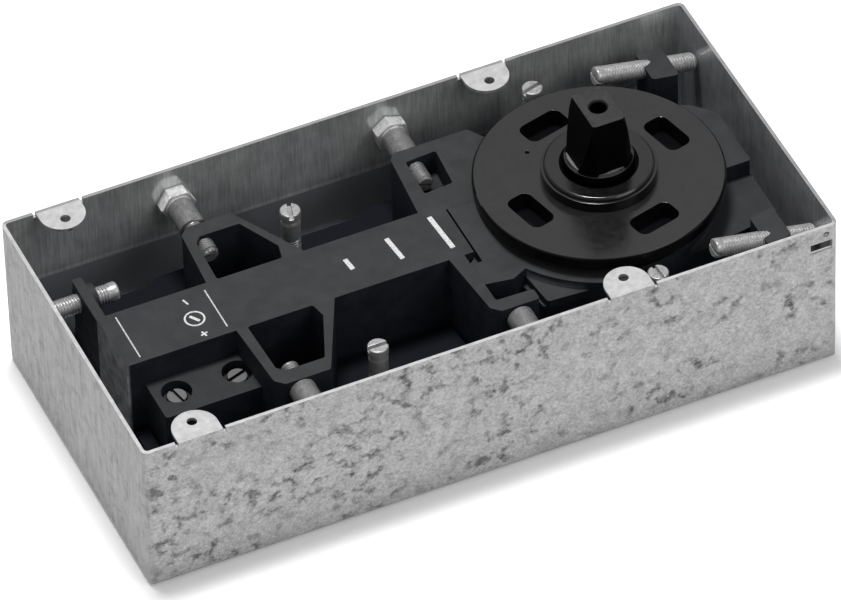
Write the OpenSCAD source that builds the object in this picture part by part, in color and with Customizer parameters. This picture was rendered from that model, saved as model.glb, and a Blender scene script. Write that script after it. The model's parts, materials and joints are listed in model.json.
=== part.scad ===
// Hydraulic floor spring in its cement box, seen as it is before the cover plate goes on.
// X runs along the box towards the spindle, Y across it, Z up. The origin is the middle of the
// box's underside.

/* [Cement box] */
// Outside length of the box
box_l = 300; // [290:1:330]
// Outside width of the box
box_w = 145; // [143:1:165]
// Outside height of the box
box_h = 74; // [74:0.5:80]
// Thickness of the galvanised sheet
sheet_t = 1.5; // [1:0.1:2]
// Outside radius of the bent edges
box_bend_r = 3; // [2.5:0.5:6]
// Width of a cover tab
tab_w = 19; // [15:1:22]
// Reach of a cover tab from the outside of its wall
tab_reach = 15; // [14:0.5:18]
// Diameter of the tapped hole in a cover tab
tab_hole_d = 4.2; // [3.2:0.1:5.2]
// Distance from the outside of the wall to the tab's hole
tab_hole_inset = 9; // [8:0.5:10]
// Width of the notch beside a tab
tab_notch_w = 1.2; // [1:0.1:2]
// Depth of the notch beside a tab
tab_notch_depth = 1.8; // [1.6:0.1:3]
// Place of the left pair of tabs along the box
tab_left_x = -125.5; // [-130:0.5:-110]
// Place of the right pair of tabs along the box
tab_right_x = 60; // [50:0.5:62]
// Length of the slot in the near wall
wall_slot_l = 9.5; // [6:0.5:12]
// Height of the slot in the near wall
wall_slot_h = 4.8; // [2.5:0.1:5]
// Middle of the slot from the right end of the box
wall_slot_inset = 7.5; // [7.5:0.5:10]
// Middle of the slot below the rim
wall_slot_drop = 10; // [8:0.5:12]
// Diameter of the relief hole near the right end of the near wall
relief_hole_d = 2.8; // [2:0.1:3.2]
// From the box's end to the middle of that hole
relief_hole_inset = 5.4; // [4.5:0.1:8]
// From the rim down to the middle of that hole
relief_hole_drop = 4; // [3:0.1:5]

/* [Casting] */
// Height of the casting's top above the ground
top_z = 64; // [62:0.5:66]
// Underside of the casting's cylinder
bar_z0 = 18; // [14:0.5:20]
// Width of the cylinder block
bar_w = 30; // [28:0.5:34]
// Left end of the cylinder block
bar_x0 = -133; // [-135:0.5:-128]
// Top of the base web
web_top = 27; // [24:0.5:29]
// Thickness of the base web
web_t = 6; // [4:0.5:8]
// Height of the casting's underside below the spindle
sump_z = 8; // [5:0.5:10]
// Left edge of the first wing
wing1_x = -86; // [-88:0.5:-84]
// Left edge of the second wing
wing2_x = 8; // [4:0.5:10]
// Half width of the casting over its wings
wing_y = 51; // [50:0.5:54]
// Reach of the first far wing from the middle of the box
wing1_far_y = 47.5; // [46:0.5:52]
// Thickness of the wing walls
wing_t = 4.8; // [4:0.1:6]
// Thickness of the wings' outer walls, which the side adjusters go through
rib_t = 7; // [6:0.5:8.5]
// Top of the valve block
valve_block_z = 51; // [48:0.5:54]
// Near edge of the valve block from the middle of the box
valve_block_y = 36; // [33:0.5:39]
// Top of the left end wall of the casting
end_wall_z = 57; // [55:0.5:60]
// Top of the deck round the spindle housing
deck_z = 52; // [48:0.5:54]
// Top of the pad behind the spindle housing
pad_z = 60; // [58:0.5:62]

/* [Spindle housing] */
// Distance of the spindle from the middle of the box
spindle_x = 79; // [76:0.5:82]
// Outside diameter of the raised ring round the housing's near left side
ring_d = 108; // [106:0.5:110]
// Diameter of the housing's cover
cover_d = 102; // [98:1:104]
// Thickness of the cover's rim
cover_t = 5; // [4:0.5:7]
// Top of the cover
cover_z = 69.5; // [69:0.5:71]
// Diameter of the cover's neck
neck_d = 90; // [86:1:94]
// Outside diameter of the housing in the casting
turret_d = 94; // [92:1:97]
// Top of the housing in the casting
turret_z = 57; // [55:0.5:58]
// Diameter of the cam chamber
chamber_d = 82; // [80:0.5:84]
// Floor of the cam chamber
chamber_z = 24; // [22:0.5:26]
// Radius of the circle that the spanner slots lie on
slot_pitch_r = 35; // [33:0.5:37]
// Width of a spanner slot
slot_w = 11; // [8:0.5:12]
// Length of a spanner slot along its circle
slot_l = 20; // [16:0.5:24]
// Radius of a spanner slot's corners
slot_corner_r = 3.5; // [2:0.5:3.5]
// Depth of a spanner slot
slot_depth = 8; // [4:0.5:8]
// Turn of the first spanner slot
slot_turn = 14; // [0:1:45]
// Outside diameter of the bearing collar
collar_d = 47; // [44:0.5:52]
// Height of the bearing collar
collar_h = 6; // [4:0.5:8]

/* [Spindle] */
// Diameter of the spindle's shaft
shaft_d = 28; // [26:0.5:29]
// Diameter of the lower journal
journal_d = 20; // [16:0.5:22]
// Top of the round shaft, where the square begins
square_z = 80; // [78:0.5:84]
// Height of the tapered square
square_h = 25; // [20:0.5:30]
// Width of the square at its foot
square_foot = 23; // [21:0.5:24]
// Width of the square at its tip along the box
square_tip = 14; // [13:0.5:18]
// Width of the square at its tip across the box
square_tip_y = 21; // [16:0.5:22]
// Diameter that the square's corners are turned to
square_corner_d = 26; // [25:0.5:27]
// Height of the cone at the square's tip
tip_cone_h = 6; // [4:0.5:10]
// Diameter of the tapped hole in the spindle
spindle_hole_d = 6.8; // [5:0.1:7]
// Depth of the tapped hole in the spindle
spindle_hole_depth = 20; // [12:1:24]

/* [Mechanism] */
// Angle that the door can open
opening_angle = 130; // [90:5:130]
// Travel of the piston over that angle
piston_travel = 18; // [12:0.5:18]
// Diameter of the cylinder bore
cylinder_d = 24; // [22:0.5:24]
// Height of the cylinder's axis
cylinder_z = 39; // [38:0.5:39.5]
// Distance from the spindle's axis to the roller's axis at rest
roller_rest = 27; // [26:0.5:28]
// Diameter of the roller
roller_d = 20; // [18:0.5:20]
// Thickness of the cam and the roller
cam_t = 8; // [6:0.5:10]
// Diameter of the roller's pin
pin_d = 6; // [5:0.5:8]
// Length of the piston from its back to the roller's axis
piston_l = 62; // [50:1:66]
// Diameter of the spring's wire
spring_wire_d = 3.4; // [2.8:0.1:3.6]
// Outside diameter of the spring
spring_d = 21.8; // [20:0.1:22]
// Number of the spring's turns
spring_turns = 12; // [9:1:13]
// Length of the cylinder's end plug
plug_l = 14; // [12:0.5:15]

/* [Valves and adjusters] */
// Diameter of the recess over a regulating valve
valve_recess_d = 12.5; // [11.5:0.5:14]
// Diameter of a regulating valve's head
valve_head_d = 8.4; // [8.2:0.1:10.4]
// Depth of a regulating valve's head below the block's top
valve_head_sink = 2; // [0.5:0.5:2.5]
// Diameter of a regulating valve's stem
valve_stem_d = 7; // [6:0.5:8]
// Distance of the regulating valves from the middle of the box
valve_y = 24; // [23:0.5:26]
// Place of the closing valve along the box
closing_valve_x = -116; // [-117:0.5:-110]
// Place of the latching valve along the box
latching_valve_x = -90; // [-96:0.5:-90]
// Diameter of the adjusting and levelling screws
screw_d = 8; // [6:0.5:8]
// Diameter of a levelling screw's head
level_head_d = 8.6; // [8:0.1:10]
// Place of the left levelling screws along the box
level_left_x = -37.4; // [-42:0.5:-30]
// Distance of the left levelling screws from the middle
level_left_y = 43; // [40:0.5:48]
// Top of the left levelling screws
level_left_z = 60; // [56:0.5:64]
// Place of the right levelling screws along the box
level_right_x = 77; // [74:0.5:80]
// Distance of the right levelling screws from the middle
level_right_y = 59.5; // [58.5:0.5:60]
// Top of the right levelling screws
level_right_z = 66.7; // [60:0.5:68]
// Width of a side adjuster's hexagon across its flats
hex_af = 13; // [11:0.5:13]
// Thickness of a side adjuster's hexagon
hex_t = 5.5; // [4:0.5:6]
// Diameter of a side adjuster's collar
side_collar_d = 11; // [9:0.5:12]
// Height of the side adjusters' axes
side_z = 58.2; // [56:0.1:58.4]
// Distance of a far side adjuster from its wing's left edge
side_inset = 10; // [9.5:0.5:12]
// Distance of a near side adjuster from its wing's left edge
side_inset_near = 12.4; // [9.5:0.1:13]
// Distance of the far side adjusters' tips from the middle
side_tip_far = 34; // [33:0.5:38]
// Distance of the left near side adjuster's tip from the middle
side_tip_left_near = 37.5; // [34:0.5:42]
// Distance of the right near side adjuster's tip from the middle
side_tip_right_near = 43; // [38:0.5:43.5]
// Distance of the right end adjusters from the middle
end_y = 55.7; // [54:0.1:57]
// Tilt of the right end adjusters
end_tilt = 12; // [0:1:15]
// Length of a right end adjuster
end_l = 46; // [40:0.5:47]
// Height of a right end adjuster's tip at the end wall
end_tip_z = 55.5; // [52:0.5:58]
// Distance of the left end adjuster from the middle
end_left_y = 40; // [36:0.5:44]
// Height of the left end adjuster
end_left_z = 50; // [46:0.5:50.5]
// Length of the left end adjuster
end_left_l = 34; // [28:0.5:38]

/* [Fits] */
// Radial clearance of a shaft that turns or slides
run_gap = 0.05; // [0.02:0.01:0.1]
// Radial clearance of a piece that is pressed or screwed in for good
seat_gap = 0.02; // [0.01:0.01:0.05]
// Clearance between faces that pass or nearly touch
face_gap = 0.2; // [0.1:0.05:0.3]

/* [Hidden] */
$fn = 64;
eps = 0.01;
big = 400;

floor_z = sheet_t;
inner_x = box_l / 2 - sheet_t;
inner_y = box_w / 2 - sheet_t;
bar_y = bar_w / 2;
web_z = web_top - web_t;
web_y = 59;
web_ear_y = 62.5;
web_x0 = -inner_x + 17.5;
web_x1 = inner_x - 10.5;
valve_block_x0 = bar_x0 + 7.5;
head_x1 = inner_x - 7.5;
head_x2 = head_x1 - 11;
head_x3 = head_x1 - 34;
pad_x0 = head_x1 - 19;
pad_x1 = head_x1 - 8;
deck_x0 = wing2_x + 9;
shaft_r = shaft_d / 2;
journal_r = journal_d / 2;
journal_z0 = sump_z + 4;
bearing_wall = 3;
lower_bearing_r = journal_r + bearing_wall;
upper_bearing_r = shaft_r + 6;
upper_bearing_h = 11;
upper_bearing_z = chamber_z + 26;
spigot_z = turret_z - 5.5;
cover_under_z = cover_z - cover_t;
neck_foot_z = turret_z;
seal_z = upper_bearing_z + upper_bearing_h + 2.5;
seal_h = 5;
seal_r = shaft_r + 5;
washer_t = 1;
cam_z = cylinder_z - cam_t / 2;
roller_r = roller_d / 2;
lift_rate = piston_travel / opening_angle;
cam_span = opening_angle + 20;
key_w = 6;
key_out = 17.2;
key_in = shaft_r - 3;
cylinder_r = cylinder_d / 2;
piston_r = cylinder_r - run_gap;
roller_x = spindle_x - roller_rest;
piston_x0 = roller_x - piston_l;
fork_reach = 6;
piston_x1 = roller_x + fork_reach;
fork_gap = 0.3;
fork_x0 = roller_x - roller_r - 1;
pin_r = pin_d / 2;
check_bore_r = 4.5;
check_bore_l = 14;
check_ball_r = 3;
check_seat_l = 4;
passage_r = 2;
ring_w = 3;
ring_depth = 1.8;
ring_x = piston_x0 + 5;
plug_r = cylinder_r + 1;
plug_x1 = bar_x0 + plug_l;
spring_x0 = plug_x1 + face_gap;
spring_x1 = piston_x0 - face_gap;
valve_recess_depth = 5;
valve_seat_z = web_top + 4;
valve_port_r = 1.5;
gallery_y = 9;
gallery_z = chamber_z + 2;
high_port_z = 33;
wing_x = [wing1_x, wing2_x];
screw_r = screw_d / 2;
level_ear_r = 7.5;
lug_x0 = inner_x - 24.5;
lug_x1 = inner_x - 13.5;
lug_y0 = 45;
lug_z = 64;
wall_press = 0.2;

function unit(v) = v / norm(v);
function turn_of(a) = a > 180 ? a - 360 : a < -180 ? a + 360 : a;

// Points of one rounded corner, from the leg towards p to the leg towards q.
function corner(p, c, q, r, n) =
    let(a = unit(p - c), b = unit(q - c),
        half = acos(a * b) / 2,
        leg = r / tan(half),
        o = c + unit(a + b) * r / sin(half),
        s = c + a * leg - o,
        e = c + b * leg - o,
        start = atan2(s[1], s[0]),
        sweep = turn_of(atan2(e[1], e[0]) - start))
    [for (i = [0 : n]) o + r * [cos(start + sweep * i / n), sin(start + sweep * i / n)]];

// An outline with every corner rounded alike.
function rounded(pts, r, n = 4) =
    [for (i = [0 : len(pts) - 1])
        for (v = corner(pts[(i + len(pts) - 1) % len(pts)], pts[i], pts[(i + 1) % len(pts)], r, n)) v];

function flipped(pts) = [for (p = pts) [p[0], -p[1]]];

module plate(pts, z0, z1) {
    translate([0, 0, z0])
        linear_extrude(z1 - z0) polygon(pts);
}

module both_sides() {
    children();
    mirror([0, 1, 0]) children();
}

module along_x(x0, x1, r) {
    translate([x0, 0, 0])
        rotate([0, 90, 0]) cylinder(h = x1 - x0, r = r);
}

module along_y(y0, y1, r) {
    translate([0, y0, 0])
        rotate([-90, 0, 0]) cylinder(h = y1 - y0, r = r);
}

module at_spindle() {
    translate([spindle_x, 0, 0]) children();
}

// A ring of round section, centred on the Z axis at its own middle.
module o_ring(r, wire_r) {
    rotate_extrude() translate([r, 0]) circle(r = wire_r, $fn = 24);
}

module rounded_rect(l, w, r) {
    square([l - 2 * r, w], center = true);
    square([l, w - 2 * r], center = true);
    for (x = [-1, 1], y = [-1, 1])
        translate([x * (l / 2 - r), y * (w / 2 - r)]) circle(r = r);
}

// A profile of a bent tray: flat floor, round lower corners, open top.
module tray_profile(w, h, r) {
    translate([-w / 2, r]) square([w, h - r]);
    translate([-w / 2 + r, 0]) square([w - 2 * r, h]);
    for (x = [-1, 1])
        translate([x * (w / 2 - r), r]) circle(r = r);
}

module tray_solid(l, w, h, r) {
    intersection() {
        linear_extrude(h) rounded_rect(l, w, r);
        rotate([90, 0, 0]) linear_extrude(w, center = true) tray_profile(l, h, r);
        rotate([90, 0, 90]) linear_extrude(l, center = true) tray_profile(w, h, r);
    }
}

module cover_tab() {
    tab_r = tab_w / 2;
    root = tab_reach - tab_r;
    translate([0, -box_w / 2, box_h - sheet_t])
        linear_extrude(sheet_t)
            difference() {
                union() {
                    translate([-tab_r, sheet_t / 2]) square([tab_w, root - sheet_t / 2]);
                    intersection() {
                        translate([0, root]) circle(r = tab_r);
                        translate([-tab_r, sheet_t / 2]) square([tab_w, tab_reach]);
                    }
                }
                translate([0, tab_hole_inset]) circle(d = tab_hole_d);
            }
}

module cement_box() {
    color([0.74, 0.75, 0.76]) {
        difference() {
            tray_solid(box_l, box_w, box_h, box_bend_r);
            translate([0, 0, sheet_t])
                tray_solid(box_l - 2 * sheet_t, box_w - 2 * sheet_t, box_h, box_bend_r - sheet_t);
            translate([box_l / 2 - wall_slot_inset, -inner_y, box_h - wall_slot_drop])
                cube([wall_slot_l, 4 * sheet_t, wall_slot_h], center = true);
            translate([box_l / 2 - relief_hole_inset, 0, box_h - relief_hole_drop])
                along_y(-box_w / 2 - 1, -inner_y + 1, relief_hole_d / 2, $fn = 32);
            for (x = [tab_left_x, tab_right_x], side = [-1, 1])
                translate([x + side * (tab_w + tab_notch_w) / 2, 0, box_h])
                    cube([tab_notch_w, box_w + 1, 2 * tab_notch_depth], center = true);
        }
        both_sides()
            for (x = [tab_left_x, tab_right_x])
                translate([x, 0, 0]) cover_tab();
    }
}

// The base web of the casting. Its edge swells to an ear at each wing and levelling screw.
module base_web() {
    half = [[web_x0, end_left_y + 8], [web_x0 + 8, web_y], [wing1_x - 8, web_y],
        [wing1_x - 3, web_ear_y], [wing1_x + 30, web_ear_y], [wing1_x + 35, web_y],
        [wing2_x - 8, web_y], [wing2_x - 3, web_ear_y], [wing2_x + 26, web_ear_y],
        [wing2_x + 31, web_y + 1], [lug_x1 - 6, web_ear_y], [web_x1, web_y - 6]];
    near = flipped(half);
    outline = concat(half, [for (i = [len(near) - 1 : -1 : 0]) near[i]]);
    plate(rounded(outline, 2.5, 3), web_z, web_top);
    both_sides() {
        translate([level_left_x, level_left_y, web_z - 3]) cylinder(h = web_t + 5, r = level_ear_r);
        translate([level_right_x, level_right_y, web_z - 3]) cylinder(h = web_t + 5, r = level_ear_r);
    }
}

// The outline and the pocket of a first wing that reaches out to y.
function wing1_outline(y) = rounded([[wing1_x, bar_y - 2], [wing1_x + 2, y - 3.5],
    [wing1_x + 5.5, y], [wing1_x + 25, y], [wing1_x + 43.5, bar_y - 2]], 1.5, 3);

function wing1_pocket(y) = rounded([[wing1_x + wing_t, bar_y], [wing1_x + wing_t + 0.8, y - rib_t - 3],
    [wing1_x + wing_t + 3.5, y - rib_t], [wing1_x + 25.5, y - rib_t],
    [wing1_x + 34.5, bar_y + 7], [wing1_x + 33, bar_y]], 1.2, 3);

module first_wing(y) {
    difference() {
        plate(wing1_outline(y), web_top - eps, top_z);
        plate(wing1_pocket(y), web_top, top_z + 1);
    }
}

// The second wing runs into the head on the far side. On the near side it ends in a free rib.
module second_wing_far() {
    difference() {
        plate(rounded([[wing2_x - 2, bar_y - 3], [wing2_x + 1, wing_y - 3], [wing2_x + 4, wing_y],
            [wing2_x + 36, wing_y], [wing2_x + 44, wing_y - 13], [wing2_x + 34, bar_y + 6],
            [wing2_x + 30, bar_y - 3]], 1.2, 3), web_top - eps, top_z);
        plate(rounded([[wing2_x + wing_t + 0.4, bar_y + 9], [wing2_x + wing_t + 1, wing_y - rib_t],
            [wing2_x + 19.5, wing_y - rib_t + 1], [wing2_x + 18, bar_y + 10]], 1, 3), web_top, top_z + 1);
    }
}

module second_wing_near() {
    plate(flipped(rounded([[wing2_x - 2, bar_y - 3], [wing2_x + 1.5, wing_y - 4], [wing2_x + 5, wing_y - 0.5],
        [wing2_x + 21.5, wing_y - 0.5], [wing2_x + 21.5, wing_y - rib_t + 0.5],
        [wing2_x + wing_t + 0.6, wing_y - rib_t], [wing2_x + wing_t, bar_y - 3]], 1.1, 3)),
        web_top - eps, top_z);
}

module valve_block() {
    plate(flipped(rounded([[valve_block_x0, bar_y - 2], [valve_block_x0, valve_block_y],
        [wing1_x + 5, valve_block_y], [wing1_x + 5, bar_y - 2]], 1.2, 3)), bar_z0, valve_block_z);
}

module end_wall() {
    translate([web_x0, 0, 0])
        plate(rounded([[0, bar_y - 4], [0, end_left_y + 6.5], [4.2, end_left_y + 6.5], [4.2, bar_y - 4]], 1, 3),
            web_top - eps, end_wall_z);
    translate([0, end_left_y, end_left_z]) along_x(web_x0, web_x0 + 7, screw_r + 2.5);
}

module head_block() {
    at_spindle() translate([0, 0, bar_z0]) cylinder(h = turret_z - bar_z0, d = turret_d, $fn = 128);
    at_spindle() translate([0, 0, sump_z]) cylinder(h = chamber_z - sump_z, r = lower_bearing_r + 5);
    plate(rounded([[wing2_x + 12, 44], [32, 50], [62, 50], [head_x3, 42], [head_x2, 38], [head_x1, 30],
        [head_x1, -35], [head_x2, -38], [head_x3, -42], [62, -45.5], [34, -44.5], [31, -27],
        [wing2_x + 10, -13]], 1.5, 3), web_top - eps, deck_z);
    plate(rounded([[wing2_x + 14, 0], [wing2_x + 14, -17], [33, -28], [35, -46], [58, -47.5], [62, 0]],
        1.5, 3), deck_z - eps, turret_z - 1);
    plate(rounded([[pad_x0, 34], [pad_x1, 28.5], [head_x1, 20], [head_x1, -11], [pad_x0, -11]], 1.2, 3),
        deck_z - eps, pad_z);
    intersection() {
        at_spindle() translate([0, 0, deck_z - 2]) cylinder(h = pad_z - deck_z + 2, d = ring_d, $fn = 128);
        plate([[spindle_x - 5, -30], [24, -10], [24, -60], [spindle_x - 14, -60]], deck_z - 2, pad_z);
    }
    sloped_deck();
}

// The deck between the cylinder block and the housing. Level with the far wing, it slopes down
// towards the near side, and a wedge-shaped groove parts it from the block.
module sloped_deck() {
    foot_z = deck_z - 2;
    far_y = 12.5;
    near_y = -17;
    difference() {
        intersection() {
            plate(rounded([[deck_x0 - eps, bar_y - 1], [deck_x0 - eps, near_y + 2], [deck_x0 - 2.5, near_y],
                [deck_x0 - 2.5, near_y - 13], [deck_x0 + 9.5, near_y - 15], [deck_x0 + 24, near_y - 8],
                [deck_x0 + 26, bar_y - 1]], 0.4, 3), foot_z, top_z);
            rotate([90, 0, 90])
                linear_extrude(box_l / 2)
                    polygon([[bar_y, foot_z], [bar_y, top_z], [far_y, top_z], [near_y, pad_z],
                        [-wing_y, pad_z], [-wing_y, foot_z]]);
        }
        plate([[deck_x0, far_y], [deck_x0, near_y - 0.5], [deck_x0 + 2.6, near_y - 0.5],
            [deck_x0 + 0.8, far_y]], pad_z - 4, top_z + 1);
    }
}

// A lug for each of the right end adjusters, with its top square to the tilted screw.
module end_lugs() {
    both_sides()
        difference() {
            plate(rounded([[lug_x0, lug_y0], [lug_x0, web_ear_y - 0.5], [lug_x1, web_ear_y - 1.5],
                [lug_x1, lug_y0 - 2]], 1.5, 3), web_top - eps, lug_z);
            end_axis() translate([-30, -20, screw_r + 2.2]) cube([60, 40, 20]);
        }
}

// Puts its children on the far right adjuster's axis, X along it and the origin in its lug.
module end_axis() {
    lug_mid = (lug_x0 + lug_x1) / 2;
    translate([lug_mid, end_y, end_tip_z + (inner_x - lug_mid) * tan(end_tilt)])
        rotate([0, end_tilt, 0]) children();
}

module casting_solid() {
    base_web();
    translate([bar_x0, -bar_y, bar_z0]) cube([deck_x0 - bar_x0, bar_w, top_z - bar_z0]);
    translate([deck_x0 - eps, -bar_y, bar_z0]) cube([18, bar_w, deck_z - bar_z0]);
    first_wing(wing1_far_y);
    mirror([0, 1, 0]) first_wing(wing_y);
    second_wing_far();
    second_wing_near();
    valve_block();
    end_wall();
    head_block();
    end_lugs();
}

module valve_cut(x) {
    translate([x, -valve_y, 0]) {
        translate([0, 0, valve_block_z - valve_recess_depth])
            cylinder(h = valve_recess_depth + 1, d = valve_recess_d);
        translate([0, 0, valve_seat_z]) cylinder(h = valve_block_z, d = valve_stem_d);
        translate([0, 0, gallery_z - 2]) cylinder(h = 8, r = valve_port_r, $fn = 32);
        translate([0, 0, gallery_z]) along_y(0, valve_y - gallery_y, valve_port_r, $fn = 32);
        translate([0, 0, high_port_z]) along_y(0, valve_y - gallery_y, valve_port_r, $fn = 32);
    }
}

module casting_bores() {
    translate([0, 0, cylinder_z]) {
        along_x(bar_x0 - 10, spindle_x, cylinder_r);
        along_x(bar_x0 - 10, plug_x1, plug_r);
    }
    at_spindle() {
        translate([0, 0, chamber_z]) cylinder(h = 60, d = chamber_d, $fn = 128);
        translate([0, 0, turret_z]) cylinder(h = 20, d = neck_d + 1, $fn = 128);
        translate([0, 0, journal_z0]) cylinder(h = 20, r = lower_bearing_r);
    }
    translate([0, -gallery_y, gallery_z]) along_x(closing_valve_x - 3, spindle_x, valve_port_r, $fn = 32);
    valve_cut(closing_valve_x);
    valve_cut(latching_valve_x);
    for (x = wing_x)
        translate([0, 0, side_z]) {
            translate([x + side_inset, 0, 0]) side_bore();
            translate([x + side_inset_near, 0, 0]) mirror([0, 1, 0]) side_bore();
        }
    both_sides() {
        translate([level_left_x, level_left_y, 0]) cylinder(h = 60, r = screw_r + run_gap);
        translate([level_right_x, level_right_y, 0]) cylinder(h = 60, r = screw_r + run_gap);
        end_axis() along_x(-15, 15, screw_r + run_gap);
    }
    translate([0, end_left_y, end_left_z]) along_x(web_x0 - 3, web_x0 + 10, screw_r + run_gap);
}

// The threaded hole of a side adjuster through a wing's outer wall.
module side_bore() {
    along_y(wing1_far_y - rib_t - 4, wing_y + 3, screw_r + run_gap);
}

module spring_body() {
    color([0.21, 0.21, 0.22])
        difference() {
            casting_solid();
            casting_bores();
        }
}

module spanner_slot() {
    r = slot_pitch_r;
    plate(rounded([[r - slot_w / 2, -slot_l / 2], [r + slot_w / 2, -slot_l / 2],
        [r + slot_w / 2, slot_l / 2], [r - slot_w / 2, slot_l / 2]], slot_corner_r, 5),
        cover_z - slot_depth, cover_z + 1);
}

// The screwed cover of the spindle housing: spigot, neck, rim and the seats inside it.
module head_cover() {
    rim_r = cover_d / 2;
    neck_r = neck_d / 2;
    edge = 0.8;
    color([0.26, 0.26, 0.27])
        at_spindle()
            difference() {
                rotate_extrude($fn = 160)
                    polygon([[upper_bearing_r + seat_gap, spigot_z], [chamber_d / 2 - run_gap, spigot_z],
                        [chamber_d / 2 - run_gap, neck_foot_z], [neck_r, neck_foot_z],
                        [neck_r, cover_under_z], [rim_r, cover_under_z], [rim_r, cover_z - edge],
                        [rim_r - edge, cover_z], [seal_r + seat_gap, cover_z], [seal_r + seat_gap, seal_z],
                        [shaft_r + 0.6, seal_z], [shaft_r + 0.6, upper_bearing_z + upper_bearing_h],
                        [upper_bearing_r + seat_gap, upper_bearing_z + upper_bearing_h]]);
                for (k = [0 : 3])
                    rotate([0, 0, slot_turn + 90 * k]) spanner_slot();
                rotate([0, 0, 133]) translate([31, 0, cover_z - 1]) cylinder(h = 2, r = 0.9, $fn = 24);
                at_cover_groove();
            }
}

// The groove in the cover's spigot that holds its seal.
module at_cover_groove() {
    groove_r = chamber_d / 2 - 1.7;
    translate([0, 0, spigot_z + 1.5])
        rotate_extrude($fn = 128) translate([groove_r, 0]) square([4, 2.4]);
}

module cover_seal() {
    color([0.08, 0.08, 0.08])
        at_spindle() translate([0, 0, spigot_z + 2.7]) o_ring(chamber_d / 2 - 0.9, 0.8, $fn = 96);
}

module bearing_collar() {
    outer_r = collar_d / 2;
    bore_r = shaft_r + 0.5;
    top = cover_z + collar_h;
    edge = 0.9;
    color([0.24, 0.24, 0.25])
        at_spindle()
            rotate_extrude($fn = 96)
                polygon([[bore_r, cover_z], [outer_r, cover_z], [outer_r, top - edge - 0.6],
                    [outer_r - 1.2, top - edge - 0.6], [outer_r - 1.2, top - edge], [outer_r - 1.2 - edge, top],
                    [bore_r + 1.5, top], [bore_r, top - 1.5]]);
}

module spindle_seal() {
    lip = 0.4;
    color([0.09, 0.09, 0.09])
        at_spindle()
            rotate_extrude()
                polygon([[shaft_r + lip, seal_z], [seal_r, seal_z], [seal_r, seal_z + seal_h - face_gap],
                    [shaft_r + 2.2, seal_z + seal_h - face_gap], [shaft_r + 2.2, seal_z + 2],
                    [shaft_r + lip, seal_z + 2]]);
}

module upper_bearing() {
    color("silver")
        at_spindle() translate([0, 0, upper_bearing_z])
            difference() {
                cylinder(h = upper_bearing_h, r = upper_bearing_r);
                translate([0, 0, -1]) cylinder(h = upper_bearing_h + 2, r = shaft_r + run_gap);
            }
}

module lower_bearing() {
    color([0.72, 0.55, 0.3])
        at_spindle() translate([0, 0, journal_z0])
            difference() {
                cylinder(h = chamber_z - journal_z0, r = lower_bearing_r - seat_gap);
                translate([0, 0, -1]) cylinder(h = 30, r = journal_r + run_gap);
            }
}

module thrust_washer() {
    color([0.72, 0.55, 0.3])
        at_spindle() translate([0, 0, journal_z0]) cylinder(h = washer_t, r = journal_r - 0.2);
}

// One of the four flats: a block leaning in against the spindle to a width at its tip.
module square_flat_cut(tip) {
    lean = atan((square_foot - tip) / 2 / square_h);
    translate([square_foot / 2, 0, square_z])
        rotate([0, -lean, 0]) translate([0, -20, 0]) cube([20, 40, square_h + 10]);
}

module spindle() {
    top = square_z + square_h;
    corner_r = square_corner_d / 2;
    foot_z = journal_z0 + washer_t + 0.05;
    shoulder_z = chamber_z + face_gap;
    color([0.1, 0.1, 0.1])
        at_spindle()
            difference() {
                rotate_extrude($fn = 96)
                    polygon([[0, foot_z], [journal_r - 1, foot_z], [journal_r, foot_z + 1],
                        [journal_r, shoulder_z], [shaft_r, shoulder_z], [shaft_r, square_z - 1],
                        [corner_r, square_z], [corner_r, top - tip_cone_h], [corner_r - 1, top], [0, top]]);
                for (k = [0 : 3])
                    rotate([0, 0, 90 * k]) square_flat_cut(k % 2 == 0 ? square_tip : square_tip_y);
                translate([0, 0, top - spindle_hole_depth])
                    cylinder(h = spindle_hole_depth + 1, d = spindle_hole_d, $fn = 32);
                translate([0, 0, top - 0.8])
                    cylinder(h = 1, r1 = spindle_hole_d / 2, r2 = spindle_hole_d / 2 + 1, $fn = 32);
                key_space(0);
            }
}

// The keyway's block between shaft and cam, grown by a clearance.
module key_space(gap) {
    translate([-key_w / 2 - gap, key_in - gap, cam_z - gap])
        cube([key_w + 2 * gap, key_out - key_in + 2 * gap, cam_t + 2 * gap]);
}

// Distance of the roller's axis from the spindle's at an angle of the cam.
function pitch_r(a) = roller_rest + lift_rate * abs(a);

// Point of the cam's edge under the roller at angle a: the pitch point less the roller's radius
// along the pitch curve's normal.
function cam_point(a) =
    let(r = pitch_r(a),
        lean = sign(a) * atan(lift_rate * 180 / PI / r),
        reach = roller_r + face_gap)
    [r * cos(a) - reach * cos(a - lean), r * sin(a) - reach * sin(a - lean)];

// The heart shape: a hollow that the roller rests in and two rising flanks of equal lift.
function cam_outline() =
    let(lean = atan(lift_rate * 180 / PI / roller_rest), reach = roller_r + face_gap)
    concat([for (a = [4 : 4 : cam_span]) cam_point(a)],
        [for (a = [-cam_span + cam_span % 4 : 4 : -4]) cam_point(a)],
        [for (t = [-4 : 4]) [roller_rest, 0] - reach * [cos(-t * lean / 4), sin(-t * lean / 4)]]);

module heart_cam() {
    color("silver")
        at_spindle()
            difference() {
                translate([0, 0, cam_z])
                    rotate([0, 0, 180]) linear_extrude(cam_t) polygon(cam_outline());
                translate([0, 0, cam_z - 1]) cylinder(h = cam_t + 2, r = shaft_r + seat_gap);
                key_space(0);
            }
}

module cam_key() {
    color("gray") at_spindle() key_space(-seat_gap);
}

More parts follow.
